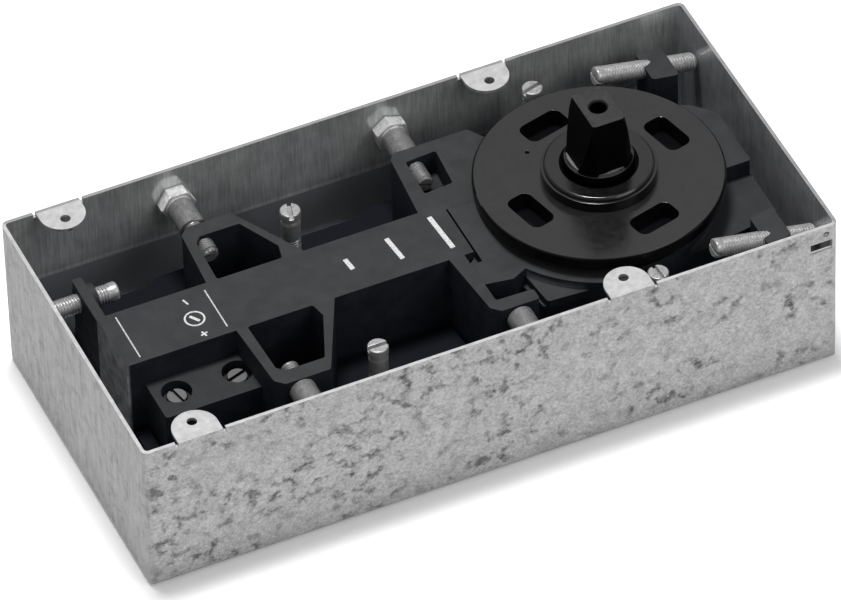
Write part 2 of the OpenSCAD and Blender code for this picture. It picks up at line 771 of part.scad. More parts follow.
// The piston, with a fork at its right end for the roller and a check valve in its back.
module piston() {
    slot_z = cam_t / 2 + fork_gap;
    color("silver")
        translate([0, 0, cylinder_z])
            difference() {
                along_x(piston_x0, piston_x1, piston_r);
                translate([fork_x0, -big / 2, -slot_z]) cube([100, big, 2 * slot_z]);
                translate([roller_x, 0, -20]) cylinder(h = 40, r = pin_r + seat_gap);
                along_x(piston_x0 - 1, piston_x0 + check_bore_l, check_bore_r);
                along_x(piston_x0, fork_x0 + 1, passage_r, $fn = 32);
                difference() {
                    along_x(ring_x, ring_x + ring_w, piston_r + 1);
                    along_x(ring_x - 1, ring_x + ring_w + 1, piston_r - ring_depth);
                }
            }
}

module piston_seal() {
    color([0.1, 0.1, 0.1])
        translate([0, 0, cylinder_z])
            difference() {
                along_x(ring_x + 0.05, ring_x + ring_w - 0.05, piston_r);
                along_x(ring_x - 1, ring_x + ring_w + 1, piston_r - ring_depth + seat_gap);
            }
}

module check_seat() {
    color([0.72, 0.55, 0.3])
        translate([0, 0, cylinder_z])
            difference() {
                along_x(piston_x0, piston_x0 + check_seat_l, check_bore_r - seat_gap);
                along_x(piston_x0 - 1, piston_x0 + check_seat_l + 1, passage_r, $fn = 32);
            }
}

module check_ball() {
    color("silver")
        translate([piston_x0 + check_seat_l + check_ball_r - 0.5, 0, cylinder_z]) sphere(r = check_ball_r, $fn = 32);
}

module roller_pin() {
    half = sqrt(piston_r * piston_r - pin_r * pin_r) - 0.3;
    color("gray")
        translate([roller_x, 0, cylinder_z - half]) cylinder(h = 2 * half, r = pin_r);
}

module cam_roller() {
    color("silver")
        translate([roller_x, 0, cam_z])
            difference() {
                cylinder(h = cam_t, r = roller_r);
                translate([0, 0, -1]) cylinder(h = cam_t + 2, r = pin_r + run_gap);
            }
}

// Place along the wire, as a share of the free length: closed turns at both ends.
function spring_lift(t) =
    let(pitch_end = spring_wire_d + 0.8,
        length = spring_x1 - spring_x0 - spring_wire_d,
        pitch_mid = (length - 2 * pitch_end) / (spring_turns - 2))
    t < 1 ? pitch_end * t
    : t > spring_turns - 1 ? length - pitch_end * (spring_turns - t)
    : pitch_end + pitch_mid * (t - 1);

function spring_point(t, r) = [r * cos(360 * t), r * sin(360 * t), spring_lift(t)];

spring_rings = 8;
spring_sides = 6;
spring_r = (spring_d - spring_wire_d) / 2;
spring_steps = spring_turns * spring_rings;
spring_path = [for (i = [0 : spring_steps]) spring_point(i / spring_rings, spring_r)];

// The least distance between the wire's middle lines a turn apart, less the wire.
spring_least_gap = min([for (i = [0 : spring_steps - spring_rings])
    for (j = [-1 : 1])
        if (i + spring_rings + j <= spring_steps)
            norm(spring_path[i] - spring_path[i + spring_rings + j])]) - spring_wire_d;
echo(spring_least_gap = spring_least_gap);

// A tube swept along the path, with its rings square to it and flat ends.
module closing_spring() {
    last = spring_steps;
    function heading(i) = unit(spring_path[min(i + 1, last)] - spring_path[max(i - 1, 0)]);
    function ring(i) =
        let(t = heading(i), side = unit([spring_path[i][0], spring_path[i][1], 0]), up = cross(t, side))
        [for (k = [0 : spring_sides - 1])
            let(a = 360 * k / spring_sides)
            spring_path[i] + spring_wire_d / 2 * (cos(a) * side + sin(a) * up)];
    points = [for (i = [0 : last]) for (p = ring(i)) p];
    n = spring_sides;
    sides = [for (i = [0 : last - 1]) for (k = [0 : n - 1])
        let(a = i * n + k, b = i * n + (k + 1) % n)
        each [[a, a + n, b], [b, a + n, b + n]]];
    ends = [for (k = [1 : n - 2]) each [[0, k, k + 1], [last * n, last * n + k + 1, last * n + k]]];
    color("silver")
        translate([spring_x0 + spring_wire_d / 2, 0, cylinder_z])
            rotate([0, 90, 0]) polyhedron(points, concat(sides, ends));
}

// The disc pressed into the cylinder's left end, flush with the casting.
module cylinder_plug() {
    color("gray")
        translate([0, 0, cylinder_z])
            difference() {
                along_x(bar_x0, plug_x1, plug_r - seat_gap);
                plug_groove();
            }
}

module plug_groove() {
    difference() {
        along_x(plug_x1 - 3.2, plug_x1 - 1, plug_r + 1);
        along_x(plug_x1 - 4, plug_x1, plug_r - 1.6);
    }
}

module plug_seal() {
    color([0.08, 0.08, 0.08])
        translate([plug_x1 - 2.1, 0, cylinder_z]) rotate([0, 90, 0]) o_ring(plug_r - 0.85, 0.75);
}

valve_seal_z = valve_block_z - valve_recess_depth - 5;

// A regulating valve: slotted head in its recess, stem with a seal groove, and a needle.
module regulating_valve(x, turn) {
    stem_r = valve_stem_d / 2 - run_gap;
    head_z = valve_block_z - valve_recess_depth + 0.1;
    head_top = valve_block_z - valve_head_sink;
    slot_w = 1.6;
    needle_z = valve_seat_z + 6;
    color([0.12, 0.12, 0.12])
        translate([x, -valve_y, 0]) rotate([0, 0, turn])
            difference() {
                rotate_extrude()
                    polygon([[0, needle_z - 5.5], [1.2, needle_z - 5.5], [2.2, needle_z], [stem_r, needle_z],
                        [stem_r, valve_seal_z - 1.1], [stem_r - 1.5, valve_seal_z - 1.1],
                        [stem_r - 1.5, valve_seal_z + 1.1], [stem_r, valve_seal_z + 1.1],
                        [stem_r, head_z], [valve_head_d / 2, head_z], [valve_head_d / 2, head_top - 0.5],
                        [valve_head_d / 2 - 0.5, head_top], [0, head_top]]);
                translate([-10, -slot_w / 2, head_top - 1.8]) cube([20, slot_w, 5]);
            }
}

module valve_seal(x) {
    color([0.08, 0.08, 0.08])
        translate([x, -valve_y, valve_seal_z]) o_ring(valve_stem_d / 2 - run_gap - 0.8, 0.65);
}

module closing_valve() {
    regulating_valve(closing_valve_x, 102);
}

module closing_valve_seal() {
    valve_seal(closing_valve_x);
}

module latching_valve() {
    regulating_valve(latching_valve_x, 18);
}

module latching_valve_seal() {
    valve_seal(latching_valve_x);
}

// A levelling screw stands on the box's floor: slotted head, turned neck, shank and dog point.
module level_screw(top) {
    foot = floor_z + 0.02;
    head_h = 4;
    neck_h = 2;
    head_r = level_head_d / 2;
    color([0.78, 0.78, 0.78])
        difference() {
            rotate_extrude($fn = 48)
                polygon([[0, foot], [screw_r - 1.5, foot], [screw_r - 1.5, foot + 4], [screw_r, foot + 5.5],
                    [screw_r, top - head_h - neck_h], [screw_r - 1.2, top - head_h - neck_h],
                    [screw_r - 1.2, top - head_h], [head_r, top - head_h], [head_r, top - 0.6],
                    [head_r - 0.6, top], [0, top]]);
            translate([-10, -0.8, top - 2]) cube([20, 1.6, 5]);
        }
}

module level_screw_left_near() {
    translate([level_left_x, -level_left_y, 0]) level_screw(level_left_z);
}

module level_screw_left_far() {
    translate([level_left_x, level_left_y, 0]) rotate([0, 0, 75]) level_screw(level_left_z);
}

module level_screw_right_near() {
    translate([level_right_x, -level_right_y, 0]) rotate([0, 0, 95]) level_screw(level_right_z);
}

module level_screw_right_far() {
    translate([level_right_x, level_right_y, 0]) rotate([0, 0, 15]) level_screw(level_right_z);
}

// A side adjuster on the far side: its hexagon presses on the box's wall, its tip reaches in to
// tip_y and its collar ends short of the wing.
module side_adjuster(x, turn, tip_y) {
    head_y = inner_y - wall_press;
    collar_y = wing_y + 0.3;
    edge = 0.7;
    color([0.78, 0.78, 0.76])
        translate([x, 0, side_z])
            rotate([-90, turn, 0]) {
                difference() {
                    union() {
                        translate([0, 0, tip_y + 1]) cylinder(h = head_y - hex_t - tip_y, r = screw_r);
                        translate([0, 0, tip_y]) cylinder(h = 1.2, r1 = screw_r - 1, r2 = screw_r);
                        translate([0, 0, collar_y]) cylinder(h = head_y - 1 - collar_y, d = side_collar_d);
                    }
                    translate([-10, -0.7, tip_y - 1]) cube([20, 1.4, 3.4]);
                }
                intersection() {
                    translate([0, 0, head_y - hex_t])
                        cylinder(h = hex_t, r = hex_af / 2 / cos(30), $fn = 6);
                    translate([0, 0, head_y - hex_t])
                        rotate_extrude($fn = 64)
                            polygon([[0, 0], [hex_af / 2 + 0.4, 0], [hex_af / 2 + 1.1, edge],
                                [hex_af / 2 + 1.1, hex_t], [0, hex_t]]);
                }
            }
}

module side_adjuster_left_near() {
    mirror([0, 1, 0]) side_adjuster(wing1_x + side_inset_near, 10, side_tip_left_near);
}

module side_adjuster_left_far() {
    side_adjuster(wing1_x + side_inset, 0, side_tip_far);
}

module side_adjuster_right_near() {
    mirror([0, 1, 0]) side_adjuster(wing2_x + side_inset_near, 25, side_tip_right_near);
}

module side_adjuster_right_far() {
    side_adjuster(wing2_x + side_inset, 20, side_tip_far);
}

// A slotted stud along X from its slotted end to its rounded tip.
module stud(l) {
    color([0.78, 0.78, 0.76])
        difference() {
            rotate([0, 90, 0])
                rotate_extrude($fn = 48)
                    polygon([[0, 0], [screw_r - 0.7, 0], [screw_r, 0.7], [screw_r, l - 1.5],
                        [screw_r - 1.5, l], [0, l]]);
            translate([-1, -10, -0.7]) cube([3.2, 20, 1.4]);
        }
}

module end_adjuster_left() {
    tip_x = -inner_x + wall_press;
    translate([tip_x + end_left_l, end_left_y, end_left_z]) rotate([0, 0, 180]) stud(end_left_l);
}

// The tilted stud: its tip's lower edge meets the end wall.
module right_stud() {
    lug_mid = (lug_x0 + lug_x1) / 2;
    to_wall = (inner_x - wall_press - lug_mid) / cos(end_tilt);
    end_axis() translate([to_wall - end_l - (screw_r - 1.5) * tan(end_tilt), 0, 0]) stud(end_l);
}

module end_adjuster_right_near() {
    mirror([0, 1, 0]) right_stud();
}

module end_adjuster_right_far() {
    right_stud();
}

cement_box();
spring_body();
head_cover();
cover_seal();
bearing_collar();
spindle_seal();
upper_bearing();
lower_bearing();
thrust_washer();
spindle();
heart_cam();
cam_key();
piston();
piston_seal();
check_seat();
check_ball();
roller_pin();
cam_roller();
closing_spring();
cylinder_plug();
plug_seal();
closing_valve();
closing_valve_seal();
latching_valve();
latching_valve_seal();
level_screw_left_near();
level_screw_left_far();
level_screw_right_near();
level_screw_right_far();
side_adjuster_left_near();
side_adjuster_left_far();
side_adjuster_right_near();
side_adjuster_right_far();
end_adjuster_left();
end_adjuster_right_near();
end_adjuster_right_far();
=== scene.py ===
import json
import math

import bmesh
import bpy
from mathutils import Matrix, Vector


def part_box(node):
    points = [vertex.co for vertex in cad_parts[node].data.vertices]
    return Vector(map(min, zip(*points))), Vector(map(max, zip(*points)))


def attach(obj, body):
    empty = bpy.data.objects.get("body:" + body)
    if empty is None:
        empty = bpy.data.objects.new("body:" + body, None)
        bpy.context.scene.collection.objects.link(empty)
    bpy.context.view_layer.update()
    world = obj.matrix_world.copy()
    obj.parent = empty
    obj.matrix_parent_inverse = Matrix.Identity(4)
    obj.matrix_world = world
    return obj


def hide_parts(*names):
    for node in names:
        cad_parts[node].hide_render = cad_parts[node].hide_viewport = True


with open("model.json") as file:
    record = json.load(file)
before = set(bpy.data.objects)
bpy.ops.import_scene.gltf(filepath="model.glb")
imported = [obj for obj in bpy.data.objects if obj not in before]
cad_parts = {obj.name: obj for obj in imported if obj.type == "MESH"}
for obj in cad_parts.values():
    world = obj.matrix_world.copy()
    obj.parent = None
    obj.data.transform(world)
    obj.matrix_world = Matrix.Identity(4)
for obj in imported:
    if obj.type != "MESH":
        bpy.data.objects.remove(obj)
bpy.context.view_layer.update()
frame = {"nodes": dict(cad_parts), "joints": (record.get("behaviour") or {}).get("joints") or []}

MM = 0.001
NODES = frame["nodes"]
JOINTS = {joint["name"]: joint for joint in frame["joints"]}

# Sizes that the pieces share with the part's source.
SHEET_T = 1.5
BOX_BEND_R = 3.0
BAR_LEFT = -133.0
BAR_TOP = 64.0
WEB_TOP = 27.0
COVER_R = 51.0
COVER_T = 5.0
SQUARE_FOOT = 80.0
HEXAGON_T = 5.5
SCREW_R = 4.0

# Sizes worked out from the frame.
BOX_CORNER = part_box("cement_box")[1] / MM
INNER_X = BOX_CORNER.x - SHEET_T
INNER_Y = BOX_CORNER.y - SHEET_T
BOX_TOP = BOX_CORNER.z
COVER_TOP = (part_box("head_cover")[1] / MM).z
SPINDLE_X = JOINTS["spindle_turn"]["pos_m"][0] / MM

# Sizes that only the scene has.
THREAD_PITCH = 1.25
THREAD_DEPTH = 0.45
THREAD_OVERLAP = 0.1
THREAD_INSET = 0.02
RUN_OUT = 0.5
INK_PROUD = 0.10
INK_SUNK = 0.02
FLOOR_Z = -0.3

# Where each screw's thread begins and ends along its axis, counted from its joint's own point.
LEVEL_THREADS = {"left": (-22.0, 16.0), "right": (-22.0, 22.7)}
SIDE_THREADS = {
    "left_near": (-16.5, -4.0),
    "left_far": (-20.0, -4.0),
    "right_near": (-11.0, -4.0),
    "right_far": (-20.0, -4.0),
}
LEFT_END_THREAD = (-11.5, 18.0)
RIGHT_END_THREAD = (-24.5, 18.5)


# Finishes.


class Finish:
    """A procedural material. Its patterns read the piece's Object coordinates, in metres."""

    def __init__(self, name, **sockets):
        self.material = bpy.data.materials.new(name)
        self.material.use_nodes = True
        self.tree = self.material.node_tree
        self.shader = self.tree.nodes["Principled BSDF"]
        self.where = self.node("ShaderNodeTexCoord").outputs["Object"]
        for socket, value in sockets.items():
            self.shader.inputs[socket.replace("_", " ")].default_value = value

    def node(self, kind, inputs=None, **settings):
        """A shader node with its settings made and its inputs fed."""
        made = self.tree.nodes.new(kind)
        for key, value in settings.items():
            setattr(made, key, value)
        for key, value in (inputs or {}).items():
            self.feed(made.inputs[key], value)
        return made

    def feed(self, socket, value):
        """Links an input to another node's output, or gives it a fixed value."""
        if isinstance(value, bpy.types.NodeSocket):
            self.tree.links.new(value, socket)
        else:
            socket.default_value = value

    def placed(self, stretch, centre=(0, 0, 0)):
        """Coordinates with each axis scaled, counted from a point given in millimetres."""
        shift = [-c * MM * s for c, s in zip(centre, stretch)]
        inputs = {"Vector": self.where, "Location": shift, "Scale": stretch}
        return self.node("ShaderNodeMapping", inputs).outputs["Vector"]

    def grain(self, size, detail, roughness=0.5, where=None, twist=0.0):
        """Soft noise with features of about size millimetres."""
        inputs = {
            "Vector": where or self.where,
            "Scale": 1 / (size * MM),
            "Detail": detail,
            "Roughness": roughness,
            "Distortion": twist,
        }
        return self.node("ShaderNodeTexNoise", inputs).outputs["Fac"]

    def streaks(self, size, z_scale):
        """Soft noise of about size millimetres, drawn out along Z by a scale below 1."""
        return self.grain(size, 3, 0.6, self.placed((1, 1, z_scale)))

    def crystals(self, size, where):
        """A random grey for each cell of about size millimetres."""
        cells = self.node("ShaderNodeTexVoronoi", {"Vector": where, "Scale": 1 / (size * MM)})
        return self.node("ShaderNodeSeparateColor", {"Color": cells.outputs["Color"]}).outputs["Red"]

    def wavering(self, size, reach):
        """Coordinates pushed about by noise, so that cell edges come out ragged."""
        noise = self.node("ShaderNodeTexNoise", {"Vector": self.where, "Scale": 1 / (size * MM)})
        push = self.vector("ADD", {0: noise.outputs["Color"], 1: (-0.5, -0.5, -0.5)})
        scaled = self.vector("SCALE", {0: push, "Scale": reach * MM})
        return self.vector("ADD", {0: self.where, 1: scaled})

    def ramp(self, value, *stops):
        """A colour ramp from (place, grey or colour) pairs."""
        made = self.node("ShaderNodeValToRGB", {"Fac": value})
        elements = made.color_ramp.elements
        while len(elements) < len(stops):
            elements.new(0.5)
        for element, (place, shade) in zip(elements, stops):
            element.position = place
            element.color = (*(shade if hasattr(shade, "__len__") else (shade,) * 3), 1)
        return made.outputs["Color"]

    def spread(self, noise, low, high):
        """Noise spread from one shade to another. Most of it lies between 0.3 and 0.7."""
        return self.ramp(noise, (0.3, low), (0.7, high))

    def blend(self, share, a, b, kind="MIX"):
        """The first shade, changed to the second by a share from 0 to 1."""
        made = self.node("ShaderNodeMix", data_type="RGBA", blend_type=kind)
        self.feed(made.inputs[0], share)
        for socket, value in ((made.inputs[6], a), (made.inputs[7], b)):
            self.feed(socket, value if isinstance(value, bpy.types.NodeSocket) else (*value, 1))
        return made.outputs[2]

    def vector(self, operation, inputs):
        """Arithmetic on vectors."""
        return self.node("ShaderNodeVectorMath", inputs, operation=operation).outputs[0]

    def maths(self, operation, a, b, clamp=False):
        """Arithmetic on two values, held between 0 and 1 if clamp is set."""
        return self.node("ShaderNodeMath", {0: a, 1: b}, operation=operation, use_clamp=clamp).outputs[0]

    def times(self, a, b):
        return self.maths("MULTIPLY", a, b)

    def plus(self, a, b):
        return self.maths("ADD", a, b)

    def larger(self, a, b):
        return self.maths("MAXIMUM", a, b)

    def component(self, vector, axis):
        """The X, Y or Z part of a vector."""
        return self.node("ShaderNodeSeparateXYZ", {0: vector}).outputs[axis]

    def along(self, axis, start, end):
        """From 0 at the start to 1 at the end, in millimetres along an axis, and level beyond them."""
        place = self.component(self.where, axis)
        return self.node("ShaderNodeMapRange", {0: place, 1: start * MM, 2: end * MM}).outputs[0]

    def upward(self):
        """How far a face looks up, from -1 to 1."""
        return self.component(self.node("ShaderNodeNewGeometry").outputs["Normal"], "Z")

    def facing(self, axis):
        """How squarely a face looks along an axis, either way, from 0 to 1."""
        normal = self.node("ShaderNodeNewGeometry").outputs["Normal"]
        return self.maths("ABSOLUTE", self.component(normal, axis), 0)

    def relief(self, height, depth, strength):
        """Bumps of depth millimetres where the height is 1."""
        inputs = {"Height": height, "Distance": depth * MM, "Strength": strength}
        self.feed(self.shader.inputs["Normal"], self.node("ShaderNodeBump", inputs).outputs["Normal"])

    def colour(self, value):
        self.feed(self.shader.inputs["Base Color"], value)

    def gloss(self, value):
        self.feed(self.shader.inputs["Roughness"], value)

    def sheen(self, value):
        self.feed(self.shader.inputs["Specular IOR Level"], value)


def zinc_flakes(f, endward):
    """Where the dark flakes lie, from 0 to 1: on the long walls, in clusters, more to the left."""
    crowd = f.times(f.along("X", 40, -150), 0.025)
    flake = f.ramp(f.plus(f.grain(6.0, 3, 0.6, twist=0.1), crowd), (0.52, 0), (0.65, 1))
    cluster = f.ramp(f.plus(f.grain(22, 2), f.times(crowd, 4.0)), (0.42, 0.16), (0.58, 1))
    long_walls = f.maths("SUBTRACT", 1.0, f.plus(f.facing("Z"), endward), clamp=True)
    return f.times(f.times(flake, cluster), long_walls)


def zinc_outside():
    """Hot dipped sheet: a fine pale mottle, dark flakes in clusters, streaks down the end walls. The end
    walls are painted darker than the long walls as shade, and a dark line of painted shade runs along the
    top edge of the far and right walls.
    """
    f = Finish("zinc_outside", Metallic=0.3)
    ragged = f.wavering(2.4, 3.2)
    endward = f.times(f.facing("X"), 0.6)
    grains = f.ramp(f.crystals(2.6, ragged), (0, 0.30), (1, 0.60))
    cloudy = f.blend(0.5, grains, f.ramp(f.grain(8, 4, 0.6), (0.34, 0.32), (0.66, 0.60)))
    mottle = f.blend(0.5, cloudy, f.ramp(f.grain(1.0, 3, 0.75), (0.34, 0.22), (0.66, 0.68)))
    # The end walls take a streaked grey darker than the long walls: the streaks are the sheet's own, the
    # darker tone is painted shade.
    walls_end_shaded = f.blend(endward, mottle, f.spread(f.streaks(1.1, 0.06), 0.23, 0.50))
    level = f.spread(f.grain(3.5, 3, 0.6), 0.43, 0.57)
    pale = f.blend(f.facing("Z"), walls_end_shaded, level)
    dark = f.ramp(f.crystals(1.4, ragged), (0, 0.06), (1, 0.25))
    sheet = f.blend(zinc_flakes(f, endward), pale, dark)
    # Painted shade: a dark line along the top edge of the far and right walls.
    far_sides = f.larger(f.along("X", INNER_X, INNER_X + 0.1), f.along("Y", INNER_Y, INNER_Y + 0.1))
    far_rim_shade = f.times(far_sides, f.along("Z", BOX_TOP - 0.8, BOX_TOP - 0.4))
    f.colour(f.blend(f.times(far_rim_shade, 0.6), sheet, (0.16, 0.16, 0.16)))
    f.gloss(f.spread(f.grain(5, 3), 0.42, 0.60))
    f.relief(f.grain(3.4, 3, 0.6), 0.05, 0.35)
    return f.material


def zinc_inside():
    """The box's inner walls: duller, with drawn streaks. The long walls carry a painted reflection of the
    casting: darker and bluer below a line 38 mm above the underside, bright just above it. The end walls
    are painted darker as shade.
    """
    f = Finish("zinc_inside", Metallic=0.4)
    streaks = f.streaks(0.9, 0.06)
    bright = f.ramp(streaks, (0.32, 0.40), (0.68, 1.0))
    stained = f.ramp(f.grain(14, 4, 0.6), (0.32, 0.46), (0.68, 1.0))
    mottle = f.blend(0.5, bright, stained)
    height = f.along("Z", 30, 46)
    # Painted reflection on the long walls: below 38 mm above the underside they are darker and bluer, then
    # comes a bright band, then they turn a little darker higher up.
    painted_reflection_line = f.ramp(height, (0.50, 0.50), (0.54, 1.0), (0.60, 1.0), (0.67, 0.72), (1.0, 0.82))
    painted_reflection_below = f.blend(f.ramp(height, (0.50, 1), (0.54, 0)), mottle, (0.72, 0.74, 0.80))
    long_walls = f.blend(1.0, painted_reflection_below, painted_reflection_line, "MULTIPLY")
    # Painted shade: the end walls are a third darker than the long walls.
    end_walls_shaded = f.blend(1.0, mottle, (0.66, 0.66, 0.68), "MULTIPLY")
    f.colour(f.blend(0.12, f.blend(f.facing("Y"), end_walls_shaded, long_walls), (0.28, 0.34, 0.36)))
    f.gloss(f.spread(streaks, 0.09, 0.20))
    f.relief(streaks, 0.02, 0.25)
    return f.material


def coated_iron():
    """Matt charcoal coating over a sand casting. Faces that look up, high up, are paler, partly dust and
    partly painted light. The sides and everything down in the depth are painted darker as shade, and the
    bar's left end face carries painted light.
    """
    f = Finish("coated_iron")
    # Painted shade: lower down towards the web the coating gets darker and loses sheen. Faces that look
    # up, high up, get a paler grey, partly dust and partly painted light.
    height = f.along("Z", WEB_TOP + 1, BAR_TOP - 6)
    up = f.ramp(f.upward(), (0.55, 0), (0.97, 1))
    unshaded_tops = f.times(up, f.ramp(height, (0.08, 0), (1, 1)))
    dusty_and_lit = f.spread(f.grain(9, 4, 0.6), (0.030, 0.031, 0.032), (0.042, 0.043, 0.045))
    clean_and_shaded = f.spread(f.grain(6, 3), (0.015, 0.017, 0.023), (0.026, 0.028, 0.036))
    # The sides go near black at the bottom of the depth: painted shade.
    side = f.blend(f.ramp(height, (0.02, 0), (0.12, 1)), (0.010, 0.011, 0.015), clean_and_shaded)
    # Painted light: the bar's left end face is painted a paler grey, patchy by noise.
    left_end = f.along("X", BAR_LEFT + 1.5, BAR_LEFT + 0.5)
    painted_light = f.times(left_end, f.spread(f.grain(5, 3), 0.35, 0.9))
    f.colour(f.blend(unshaded_tops, f.blend(painted_light, side, (0.48, 0.48, 0.50)), dusty_and_lit))
    f.sheen(f.ramp(height, (0.0, 0.03), (0.5, 0.14)))
    f.gloss(f.spread(f.grain(4, 3), 0.50, 0.66))
    sand = f.plus(f.grain(0.55, 3, 0.7), f.times(f.grain(2.6, 2), 0.8))
    f.relief(sand, 0.07, 0.45)
    return f.material


def coated_turning(name, low, high, marks):
    """A satin coating over a turned face, with rings of tool marks round the spindle. Only faces that look
    up at the very top keep its colour and full sheen; sides and sunk faces, such as the slots' floors, are
    painted near black as shade.
    """
    f = Finish(name, IOR=1.6)
    centred = f.placed((1, 1, 0), (SPINDLE_X, 0, 0))
    waves = {"Vector": centred, "Scale": 420.0, "Distortion": 0.35, "Detail": 2.0, "Detail Scale": 3.0}
    rings = f.node("ShaderNodeTexWave", waves, wave_type="RINGS", rings_direction="Z").outputs["Fac"]
    # Painted shade: sides and faces sunk below the top go near black, with little sheen.
    up = f.ramp(f.upward(), (0.6, 0), (0.98, 1))
    unshaded_tops = f.times(up, f.along("Z", COVER_TOP - 3.5, COVER_TOP - 0.5))
    patchy = f.spread(f.grain(14, 4, 0.6), low, high)
    ringed = f.blend(0.10, patchy, f.ramp(rings, (0, marks / 3), (1, marks)))
    f.colour(f.blend(unshaded_tops, (0.004, 0.004, 0.005), ringed))
    f.sheen(f.ramp(unshaded_tops, (0, 0.12), (1, 1.0)))
    f.gloss(f.spread(f.grain(3, 3), 0.17, 0.24))
    f.relief(f.plus(rings, f.grain(0.5, 2)), 0.012, 0.35)
    return f.material


def blackened_steel(name, low, high):
    """Blackened steel, with painted light where it faces up: a darker grey above the square's foot, and a
    paler painted highlight from the foot down.
    """
    f = Finish(name, Specular_IOR_Level=0.03)
    dark = f.spread(f.grain(3.5, 4, 0.6), low, high)
    # Painted light: faces that look up get grey, and a paler painted highlight on the ledges at the
    # square's foot and below.
    painted_top_light = f.spread(f.grain(2.2, 3), 0.039, 0.052)
    painted_light = f.blend(f.along("Z", SQUARE_FOOT + 4, SQUARE_FOOT + 2), painted_top_light, (0.16, 0.16, 0.16))
    f.colour(f.blend(f.ramp(f.upward(), (0.6, 0), (0.95, 1)), dark, painted_light))
    f.gloss(f.spread(f.grain(1.6, 3), 0.30, 0.46))
    f.relief(f.grain(0.8, 3, 0.6), 0.02, 0.3)
    return f.material


def plated_zinc(name, low, high):
    """Zinc plated screws, dull and stained. The hexagons out by the long walls are painted brighter:
    painted light.
    """
    f = Finish(name, Metallic=0.45)
    stain = f.grain(2.4, 4, 0.6)
    dull = f.blend(0.4, f.spread(stain, low, high), f.spread(f.grain(0.5, 2), low, high))
    # Painted light: the hexagons out by the long walls get a brighter grey than the rest of the screw.
    inner, outer = INNER_Y - HEXAGON_T - 1, INNER_Y - HEXAGON_T - 0.5
    painted_light_hexagons = f.larger(f.along("Y", inner, outer), f.along("Y", -inner, -outer))
    f.colour(f.blend(painted_light_hexagons, dull, f.spread(stain, 0.54, 0.84)))
    f.gloss(f.spread(f.grain(1.2, 3), 0.26, 0.44))
    f.relief(f.grain(0.5, 2), 0.01, 0.25)
    return f.material


def ground_metal(name, low, high, tint=(1, 1, 1)):
    """A ground or drawn metal with fine lines along Z."""
    f = Finish(name, Metallic=1.0)
    lines = f.streaks(0.6, 0.1)
    f.colour(f.spread(lines, [low * t for t in tint], [high * t for t in tint]))
    f.gloss(f.spread(f.grain(1.5, 2), 0.22, 0.36))
    f.relief(lines, 0.006, 0.3)
    return f.material


def seal_rubber():
    """Black rubber, slightly mottled."""
    f = Finish("seal_rubber", Specular_IOR_Level=0.3)
    f.colour(f.spread(f.grain(1.5, 3), 0.018, 0.036))
    f.gloss(f.spread(f.grain(0.8, 2), 0.55, 0.75))
    f.relief(f.grain(0.3, 2), 0.02, 0.3)
    return f.material


def printed_white():
    """White ink, worn thin in places."""
    f = Finish("printed_white", Roughness=0.6)
    f.colour(f.ramp(f.grain(0.8, 3, 0.65), (0.30, 0.28), (0.50, 0.62)))
    f.relief(f.grain(0.4, 2), 0.01, 0.3)
    return f.material


def studio_white():
    """The white floor. The camera and reflections see it a little brighter than it is lit."""
    f = Finish("studio_white", Roughness=0.9, Specular_IOR_Level=0.0)
    rays = f.node("ShaderNodeLightPath").outputs
    f.colour(f.blend(rays["Is Camera Ray"], (0.88, 0.88, 0.88), (1.12, 1.12, 1.12)))
    seen = f.larger(rays["Is Camera Ray"], rays["Is Glossy Ray"])
    seen = f.larger(seen, rays["Is Transmission Ray"])
    f.shader.inputs["Emission Color"].default_value = (1, 1, 1, 1)
    f.feed(f.shader.inputs["Emission Strength"], f.times(seen, 0.05))
    return f.material


ZINC_OUTSIDE = zinc_outside()
ZINC_INSIDE = zinc_inside()
COATED_IRON = coated_iron()
COVER_BLACK = coated_turning("coated_turning", 0.007, 0.010, 0.02)
# The collar gets a darker copy of the cover's coating: painted shade, and a painted reflection of the
# spindle's dark side.
COLLAR_SHADED = coated_turning("collar_shaded", 0.002, 0.003, 0.006)
SPINDLE_BLACK = blackened_steel("spindle_black", 0.0004, 0.0016)
VALVE_BLACK = blackened_steel("valve_black", 0.006, 0.016)
SCREW_ZINC = plated_zinc("screw_zinc", 0.30, 0.56)
# A darker copy of the screw zinc, for the side adjusters.
DARKER_ZINC = plated_zinc("darker_zinc", 0.14, 0.30)
GROUND_STEEL = ground_metal("ground_steel", 0.48, 0.66)
SPRING_WIRE = ground_metal("spring_wire", 0.20, 0.32, (0.94, 0.97, 1.0))
BRONZE = ground_metal("bronze", 0.52, 0.70, (1.0, 0.70, 0.36))
RUBBER = seal_rubber()
INK = printed_white()


# Meshes.


def copy_of(node):
    """A CAD node's mesh with its loose triangles joined and its flat faces made whole."""
    bm = bmesh.new()
    bm.from_mesh(NODES[node].data)
    bmesh.ops.remove_doubles(bm, verts=bm.verts, dist=1e-6)
    bmesh.ops.dissolve_limit(bm, angle_limit=math.radians(0.4), verts=bm.verts, edges=bm.edges)
    return bm


def bevel(bm, edges, width, segments, clamp):
    """Rounds edges over a width in mm. With clamp, it goes no further than neighbours leave room for."""
    bmesh.ops.bevel(
        bm,
        geom=edges,
        offset=width * MM,
        offset_type="OFFSET",
        affect="EDGES",
        segments=segments,
        profile=0.5,
        material=-1,
        clamp_overlap=clamp,
    )


def soften(bm, width, angle, where=lambda p: True):
    """Rounds outward edges that turn by more than angle degrees, if their middle, in mm, passes where."""
    edges = [
        e
        for e in bm.edges
        if e.is_manifold
        and e.is_convex
        and e.calc_face_angle() > math.radians(angle)
        and where((e.verts[0].co + e.verts[1].co) / 2 / MM)
    ]
    bevel(bm, edges, width, segments=2, clamp=True)
    return bm


